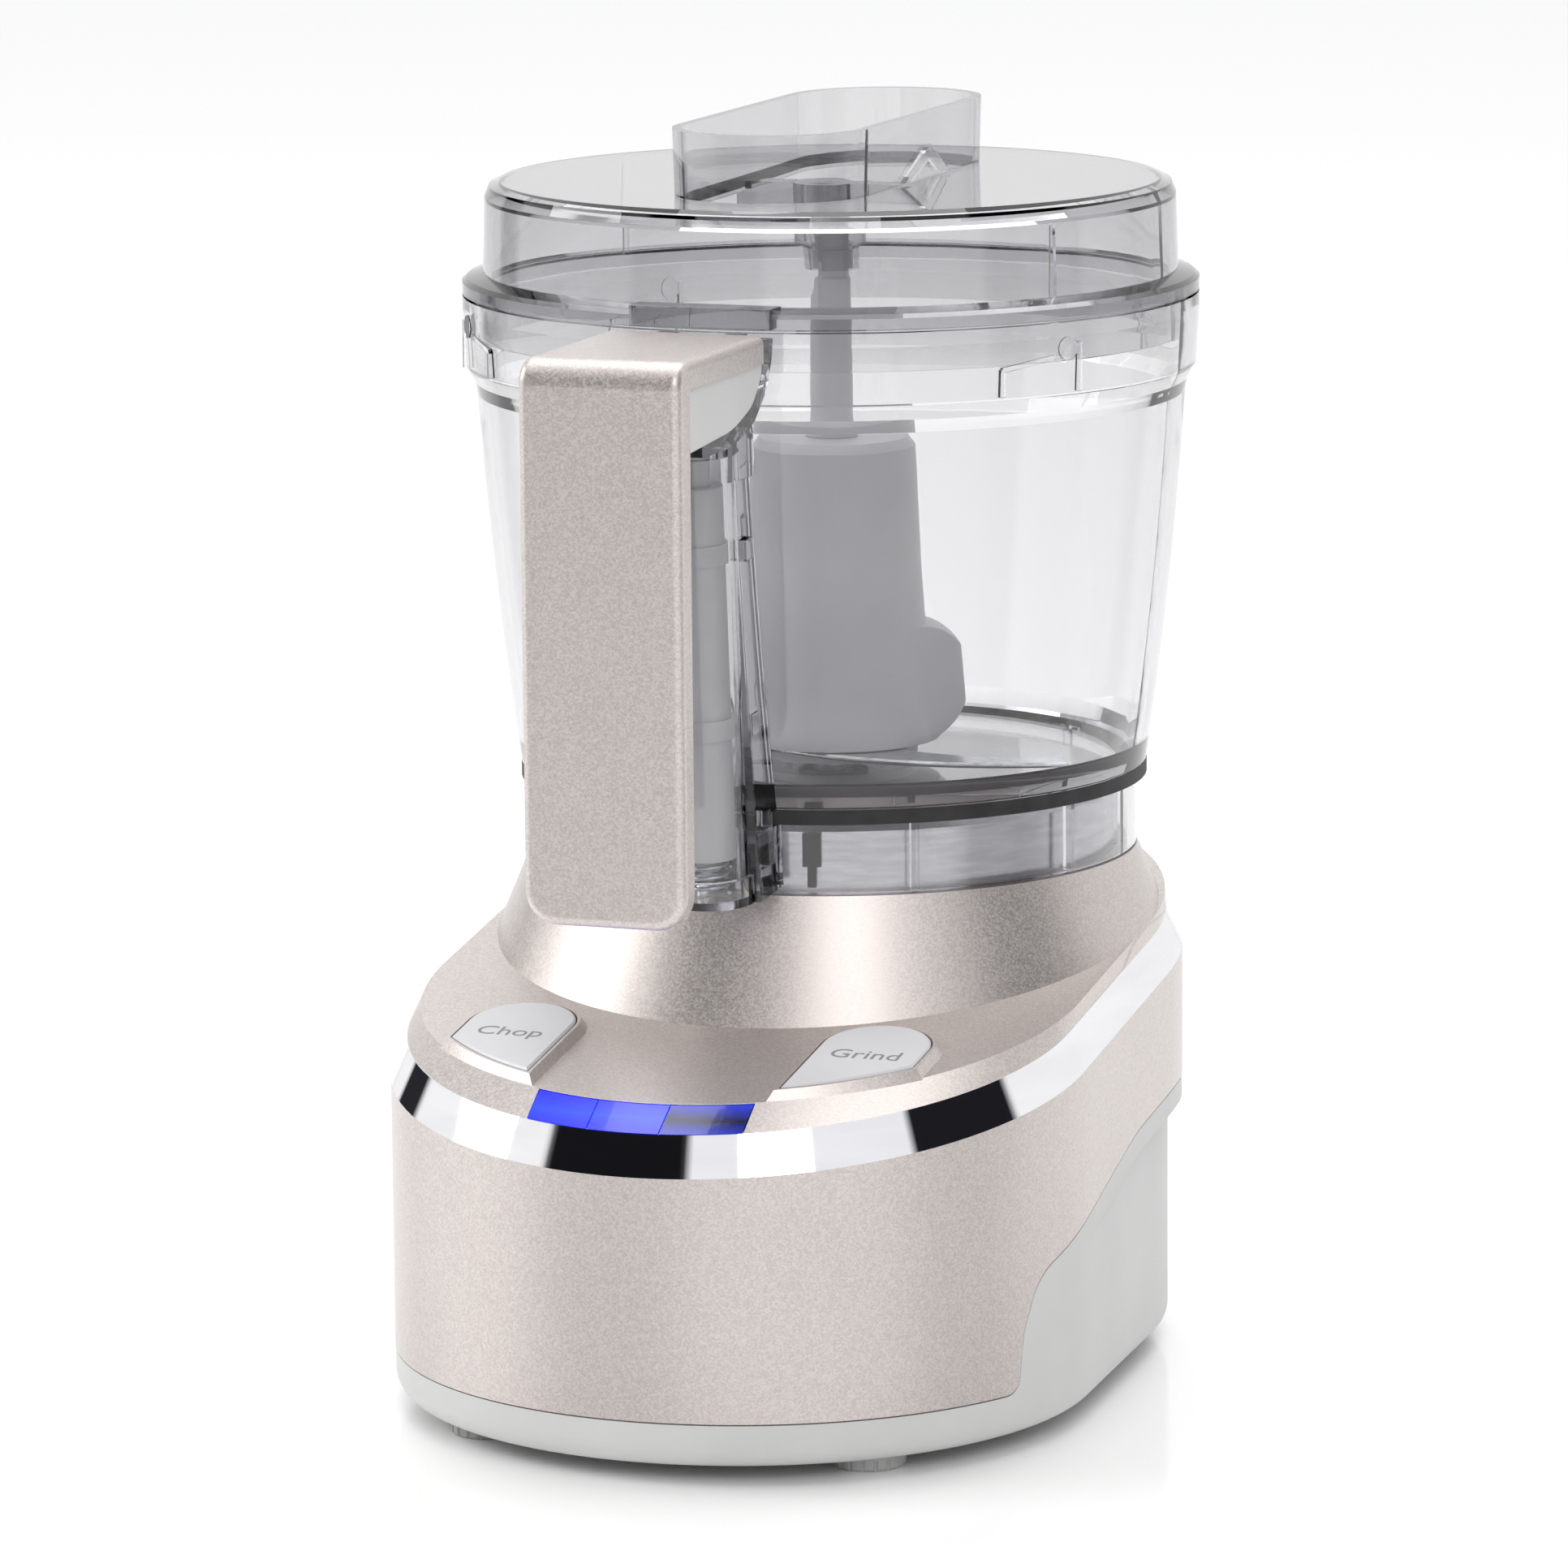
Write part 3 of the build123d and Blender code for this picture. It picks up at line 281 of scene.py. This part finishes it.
def loose_copy(node, name):
    """Copy of a CAD node that rides on nothing yet."""
    deselect()
    NODES[node].select_set(True)
    bpy.context.view_layer.objects.active = NODES[node]
    bpy.ops.object.duplicate()
    bpy.ops.object.parent_clear(type="CLEAR_KEEP_TRANSFORM")
    bpy.ops.object.transform_apply(location=True, rotation=True, scale=True)
    piece = bpy.context.object
    piece.name = name
    return piece


def rounded_copy(node, name, body, width, segments=3):
    """Copy of a CAD node with its sharp edges rounded, which stands for the node."""
    piece = loose_copy(node, name)
    bpy.ops.mesh.customdata_custom_splitnormals_clear()
    bpy.ops.object.mode_set(mode="EDIT")
    bpy.ops.mesh.select_all(action="SELECT")
    bpy.ops.mesh.remove_doubles(threshold=MERGE_DISTANCE)
    bpy.ops.mesh.dissolve_limited(angle_limit=FLAT_ANGLE)
    bpy.ops.object.mode_set(mode="OBJECT")
    bevel = piece.modifiers.new("rounding", "BEVEL")
    bevel.width = width
    bevel.segments = segments
    bevel.limit_method = "ANGLE"
    bevel.angle_limit = SHARP_ANGLE
    bevel.miter_outer = "MITER_ARC"
    bpy.ops.object.modifier_apply(modifier="rounding")
    bpy.ops.object.shade_smooth_by_angle(angle=SHARP_ANGLE)
    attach(piece, body)
    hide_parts(node)
    return piece


# --------------------------------------------------------------- properties


class ProcessorLettering(bpy.types.PropertyGroup):
    """Words on the two buttons."""

    left_word: bpy.props.StringProperty(
        name="Left word", description="Word on the left button", default="Chop")
    right_word: bpy.props.StringProperty(
        name="Right word", description="Word on the right button", default="Grind")
    height: bpy.props.FloatProperty(
        name="Letter size", description="Size of the lettering", default=6.2 * MM, unit="LENGTH")
    proud: bpy.props.FloatProperty(
        name="Letter thickness", description="Thickness of the printed ink",
        default=0.04 * MM, unit="LENGTH")


class ProcessorRounding(bpy.types.PropertyGroup):
    """Radii of the moulded and ground edges."""

    hub: bpy.props.FloatProperty(
        name="Hub edges", description="Rounding of the hub and its paddles",
        default=1.1 * MM, unit="LENGTH")
    knife: bpy.props.FloatProperty(
        name="Knife bevel", description="Width of the bevel ground on the knives",
        default=0.4 * MM, unit="LENGTH")


class ProcessorCamera(bpy.types.PropertyGroup):
    """Place of the camera, as seen from the machine."""

    azimuth: bpy.props.FloatProperty(
        name="Azimuth", description="Turn round the machine from its front",
        default=radians(19.78), subtype="ANGLE")
    pitch: bpy.props.FloatProperty(
        name="Pitch", description="Angle below the horizon",
        default=radians(10.15), subtype="ANGLE")
    roll: bpy.props.FloatProperty(
        name="Roll", description="Turn about the line of sight",
        default=radians(-0.48), subtype="ANGLE")
    distance: bpy.props.FloatProperty(
        name="Distance", description="Level distance from the bowl's axis",
        default=1.6354, unit="LENGTH")
    sideways: bpy.props.FloatProperty(
        name="Sideways", description="Step to the right", default=-10.27 * MM, unit="LENGTH")
    height: bpy.props.FloatProperty(
        name="Height", description="Height above the floor", default=0.4077, unit="LENGTH")
    lens: bpy.props.FloatProperty(
        name="Lens", description="Focal length in millimetres", default=187.9)


class ProcessorStage(bpy.types.PropertyGroup):
    """Floor and light."""

    floor_size: bpy.props.FloatProperty(
        name="Floor size", description="Side of the floor", default=16.0, unit="LENGTH")
    key_power: bpy.props.FloatProperty(
        name="Key light", description="Power of the large front light", default=22.0)
    fill_power: bpy.props.FloatProperty(
        name="Fill light", description="Power of the side light", default=10.0)
    top_power: bpy.props.FloatProperty(
        name="Top light", description="Power of the overhead light", default=20.0)
    sky: bpy.props.FloatProperty(
        name="Room light", description="Strength of the even room light", default=1.0)


# ----------------------------------------------------------------- finishes


class PROCESSOR_OT_base_finish(bpy.types.Operator):
    """Paint the shells, plate the trim and grain the tray"""

    bl_idname = "processor.base_finish"
    bl_label = "Base finish"

    def execute(self, context):
        paint = metallic_paint()
        dress(paint, ["lower_shell", "upper_housing", "handle_cover"])
        dress(polished_metal("spigot_satin_metal", base="c9c9cc", dark="b2b2b6", rough=0.22, streak_mm=9.0),
              ["bowl_seat"])
        casing = grained_plastic("light_grey_abs", base="d3d4d2", dark="cccdcb",
                                 grain_mm=0.5, rough=0.42)
        dress(casing, ["rear_casing", "bottom_cover", "handle_liner"])
        dress(polished_metal("chrome_plating", base="f4f4f6", dark="ececef", rough=0.03, streak_mm=30.0),
              ["chrome_trim"])
        dress(moulded_rubber("pale_grey_foot_rubber", base="c2c2c1", dark="acacab", rough=0.6),
              ["feet"])
        dress(grained_plastic("black_socket_plastic", base="1b1b1d", dark="131314", grain_mm=0.4, rough=0.4),
              ["charging_jack", "lock_catch"])
        return {"FINISHED"}


class PROCESSOR_OT_drive_finish(bpy.types.Operator):
    """Finish the motor, gears, cells and the rest of the inner works"""

    bl_idname = "processor.drive_finish"
    bl_label = "Drive finish"

    def execute(self, context):
        dress(polished_metal("zinc_plated_steel", base="b9bcc2", dark="9ea1a8", rough=0.3, streak_mm=5.0),
              ["motor_can", "cover_screws", "plate_screws", "handle_screws", "rod_spring"])
        dress(polished_metal("turned_steel", base="b4b4b7", dark="98989c", rough=0.25, streak_mm=2.0),
              ["drive_spindle", "lower_bearing"])
        dress(polished_metal("machined_brass", base="d2b070", dark="b8934f", rough=0.24, streak_mm=3.0),
              ["motor_pinion"])
        dress(polished_metal("sintered_bronze", base="a67c4a", dark="8a6238", rough=0.42, streak_mm=1.2),
              ["spindle_bush"])
        dress(grained_plastic("natural_nylon", base="e4dfd0", dark="d8d2c0", grain_mm=0.6, rough=0.4),
              ["drive_gear"])
        dress(grained_plastic("glass_filled_nylon", base="3b3d40", dark="2d2f31", grain_mm=0.35, rough=0.5),
              ["gear_plate", "chassis"])
        dress(grained_plastic("black_abs", base="262628", dark="1a1a1c", grain_mm=0.5, rough=0.45),
              ["battery_holder", "button_switches", "safety_switch"])
        dress(grained_plastic("heat_shrink_sleeve", base="4a79b8", dark="3d68a2", grain_mm=1.2, rough=0.3),
              ["battery_cells"])
        dress(grained_plastic("green_solder_mask", base="2d6b3c", dark="1f5530", grain_mm=1.5, rough=0.3),
              ["control_board"])
        dress(moulded_rubber("black_seal_rubber", base="2a2a2c", dark="161618", rough=0.6),
              ["spindle_seal", "floor_ring"])
        return {"FINISHED"}


class PROCESSOR_OT_bowl_finish(bpy.types.Operator):
    """Make the bowl and the lid clear, and finish the interlock rod"""

    bl_idname = "processor.bowl_finish"
    bl_label = "Bowl and lid finish"

    def execute(self, context):
        dress(clear_plastic("clear_bowl_san", tint="86848f", density=80.0, film="dad9de"), ["bowl"])
        dress(clear_plastic("clear_lid_san", tint="82808c", density=140.0, film="c6c5cc"),
              ["lid", "lid_mark"])
        dress(grained_plastic("rod_acetal", base="c9c9ca", dark="bcbcbe", grain_mm=0.6, rough=0.35),
              ["interlock_rod", "stem_bush"])
        self.stand_spring()
        return {"FINISHED"}

    @staticmethod
    def stand_spring():
        """Return spring on the column's floor, copied with a mesh of its own and carried with the bowl unit.
        """
        spring = loose_copy("rod_spring", "coil_spring")
        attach(spring, "bowl_unit")
        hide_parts("rod_spring")
        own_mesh(spring)


class PROCESSOR_OT_blade_finish(bpy.types.Operator):
    """Grain the hub and polish the knives"""

    bl_idname = "processor.blade_finish"
    bl_label = "Blade finish"

    def execute(self, context):
        rounding = context.scene.processor_rounding
        dress(grained_plastic("satin_grey_pom", base="c6c6c8", dark="bcbcbe", grain_mm=0.7, rough=0.38),
              ["blade_hub", "blade_stem", "knife_collar"])
        dress(polished_metal("ground_stainless_steel", base="d2d3d6", dark="b5b7bb", rough=0.2, streak_mm=1.6),
              ["knife_front", "knife_rear"])
        rounded_copy("blade_hub", "moulded_hub", "blade", rounding.hub)
        for side in ("front", "rear"):
            rounded_copy("knife_" + side, "ground_knife_" + side, "blade",
                         rounding.knife, segments=1)
        return {"FINISHED"}


class PROCESSOR_OT_controls_finish(bpy.types.Operator):
    """Finish the buttons, light two of the three indicator lenses and give the unlit third one a painted glow
    """

    bl_idname = "processor.controls_finish"
    bl_label = "Controls finish"

    def execute(self, context):
        dress(grained_plastic("button_satin_abs", base="dcdcde", dark="d4d4d6", grain_mm=0.5, rough=0.3),
              ["button_left", "button_right"])
        dress(lit_lens("lit_blue_lens", core="1234ff", edge="020cc4", power=0.9),
              ["indicator_left", "indicator_middle"])
        # The unlit right lens still emits: a painted glow, dark navy in its middle and bright blue at its rims
        dress(lit_lens("unlit_lens_painted_glow", core="10132e", edge="1c2fb4", power=0.5),
              ["indicator_right"])
        return {"FINISHED"}


class PROCESSOR_OT_lettering(bpy.types.Operator):
    """Print a plain word on each button, flat on its tilted face"""

    bl_idname = "processor.lettering"
    bl_label = "Button lettering"

    def execute(self, context):
        settings = context.scene.processor_lettering
        ink = grained_plastic("grey_pad_ink", base="8f8f92", dark="858588",
                              grain_mm=0.4, rough=0.5)
        for name, word, body in (("button_left", settings.left_word, "left_key"),
                                 ("button_right", settings.right_word, "right_key")):
            self.print_word(name, word, body, settings, ink)
        return {"FINISHED"}

    @staticmethod
    def print_word(button, word, body, settings, ink):
        """One word as thin raised letters on a button's top face."""
        normal = Vector((0, -sin(DECK_TILT), cos(DECK_TILT)))
        top = max(vertex.co.dot(normal) for vertex in NODES[button].data.vertices)
        low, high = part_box(button)
        middle = Vector(((low[0] + high[0]) / 2, low[1] + WORD_PLACE * (high[1] - low[1]), 0))
        middle.z = (top - middle.dot(normal)) / normal.z
        deselect()
        bpy.ops.object.text_add(location=(0, 0, 0))
        text = bpy.context.object
        text.data.body = word
        text.data.size = settings.height
        text.data.align_x = "CENTER"
        text.data.align_y = "CENTER"
        text.data.extrude = settings.proud / 2
        text.data.resolution_u = 4
        bpy.ops.object.convert(target="MESH")
        place = Matrix.Translation(middle + normal * settings.proud * INK_LIFT)
        text.matrix_world = place @ Matrix.Rotation(DECK_TILT, 4, "X")
        bpy.ops.object.transform_apply(location=True, rotation=True, scale=True)
        text.name = "lettering_" + button
        text.data.materials.append(ink)
        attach(text, body)


class PROCESSOR_OT_stage(bpy.types.Operator):
    """Lay the floor, hang the lights and place the camera"""

    bl_idname = "processor.stage"
    bl_label = "Stage"

    def execute(self, context):
        scene = context.scene
        settings = scene.processor_stage
        self.lay_floor(settings)
        self.hang_light("key_light", (-2.1, -0.5, 1.3), 1.2, settings.key_power)
        self.hang_light("fill_light", (0.9, -1.9, 1.5), 0.9, settings.fill_power)
        self.hang_light("top_light", (0.0, 0.6, 2.1), 1.8, settings.top_power)
        world = bpy.data.worlds.new("even_room")
        world.use_nodes = True
        self.paint_room(world.node_tree, settings.sky)
        scene.world = world
        scene.view_settings.view_transform = "Standard"
        self.place_camera(scene)
        return {"FINISHED"}

    @staticmethod
    def paint_room(tree, strength):
        """Pale room with a few dark upright bands, which give gloss and clear walls dark lines."""
        direction = add(tree, "ShaderNodeTexCoord").outputs["Generated"]
        parts = add(tree, "ShaderNodeSeparateXYZ", links={"Vector": direction})
        turn = add(tree, "ShaderNodeMath", links={0: parts.outputs["Y"], 1: parts.outputs["X"]},
                   operation="ARCTAN2").outputs[0]
        share = add(tree, "ShaderNodeMapRange", {"From Min": -pi, "From Max": pi}, {"Value": turn})
        bands = ramp(tree, share.outputs["Result"], ROOM_BANDS)
        height = add(tree, "ShaderNodeMapRange",
                     {"From Min": CEILING_SINES[0], "From Max": CEILING_SINES[1]},
                     {"Value": parts.outputs["Z"]})
        colour = add(tree, "ShaderNodeMixRGB", {"Color2": srgb("ffffff")},
                     {"Fac": height.outputs["Result"], "Color1": bands})
        background = tree.nodes["Background"]
        tree.links.new(colour.outputs[0], background.inputs["Color"])
        background.inputs["Strength"].default_value = strength

    @staticmethod
    def lay_floor(settings):
        """Pale glossy floor that runs out past the view."""
        deselect()
        bpy.ops.mesh.primitive_plane_add(size=settings.floor_size, location=(0, FLOOR_MIDDLE_Y, 0))
        floor = bpy.context.object
        floor.name = "floor"
        bpy.ops.object.transform_apply(location=True, rotation=True, scale=True)
        material, tree, coordinates = new_material("white_acrylic_sheet")
        haze = add(tree, "ShaderNodeTexNoise", {"Scale": 1.5}, {"Vector": coordinates})
        shader = add(tree, "ShaderNodeBsdfPrincipled", {"Base Color": srgb("ffffff")},
                     {"Roughness": remap(tree, haze.outputs["Fac"], 0.10, 0.14)})
        close_material(tree, shader.outputs[0])
        floor.data.materials.append(material)

    @staticmethod
    def hang_light(name, place, size, power):
        """Square soft light aimed at the middle of the machine."""
        data = bpy.data.lights.new(name, "AREA")
        data.size = size
        data.energy = power
        lamp = bpy.data.objects.new(name, data)
        aim = Vector((0, 0, LIGHT_AIM_Z)) - Vector(place)
        turn = aim.to_track_quat("-Z", "Y").to_matrix().to_4x4()
        lamp.matrix_world = Matrix.Translation(place) @ turn
        bpy.context.scene.collection.objects.link(lamp)

    @staticmethod
    def place_camera(scene):
        """Camera in front and to the right, a little above, looking slightly down."""
        view = scene.processor_camera
        axis_y = sum(corner[1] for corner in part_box("bowl_seat")) / 2
        back = Vector((sin(view.azimuth), -cos(view.azimuth), 0))
        right = Vector((cos(view.azimuth), sin(view.azimuth), 0))
        forward = -back * cos(view.pitch) - Vector((0, 0, sin(view.pitch)))
        up = right.cross(forward)
        turned_right = right * cos(view.roll) + up * sin(view.roll)
        turned_up = up * cos(view.roll) - right * sin(view.roll)
        place = back * view.distance + right * view.sideways + Vector((0, axis_y, view.height))
        data = bpy.data.cameras.new("camera")
        data.lens = view.lens
        data.sensor_width = 36.0
        camera = bpy.data.objects.new("camera", data)
        scene.collection.objects.link(camera)
        turn = Matrix((turned_right, turned_up, -forward)).transposed().to_4x4()
        camera.matrix_world = Matrix.Translation(place) @ turn
        scene.camera = camera


class PROCESSOR_PT_panel(bpy.types.Panel):
    """Buttons that build the looks"""

    bl_label = "Food Processor"
    bl_idname = "PROCESSOR_PT_panel"
    bl_space_type = "VIEW_3D"
    bl_region_type = "UI"
    bl_category = "Processor"

    def draw(self, context):
        for operator in OPERATORS:
            self.layout.operator(operator.bl_idname)


GROUPS = {
    "processor_lettering": ProcessorLettering,
    "processor_rounding": ProcessorRounding,
    "processor_camera": ProcessorCamera,
    "processor_stage": ProcessorStage,
}
OPERATORS = [
    PROCESSOR_OT_base_finish,
    PROCESSOR_OT_drive_finish,
    PROCESSOR_OT_bowl_finish,
    PROCESSOR_OT_blade_finish,
    PROCESSOR_OT_controls_finish,
    PROCESSOR_OT_lettering,
    PROCESSOR_OT_stage,
]


def register():
    """Register the classes and hang the settings on the scene."""
    for group in GROUPS.values():
        bpy.utils.register_class(group)
    for name, group in GROUPS.items():
        setattr(bpy.types.Scene, name, bpy.props.PointerProperty(type=group))
    for operator in OPERATORS:
        bpy.utils.register_class(operator)
    bpy.utils.register_class(PROCESSOR_PT_panel)


def unregister():
    """Take everything off again."""
    bpy.utils.unregister_class(PROCESSOR_PT_panel)
    for operator in reversed(OPERATORS):
        bpy.utils.unregister_class(operator)
    for name in GROUPS:
        delattr(bpy.types.Scene, name)
    for group in reversed(list(GROUPS.values())):
        bpy.utils.unregister_class(group)


def main():
    """Run every step in order."""
    register()
    bpy.ops.processor.base_finish()
    bpy.ops.processor.drive_finish()
    bpy.ops.processor.bowl_finish()
    bpy.ops.processor.blade_finish()
    bpy.ops.processor.controls_finish()
    bpy.ops.processor.lettering()
    bpy.ops.processor.stage()


if __name__ == "__main__":
    main()
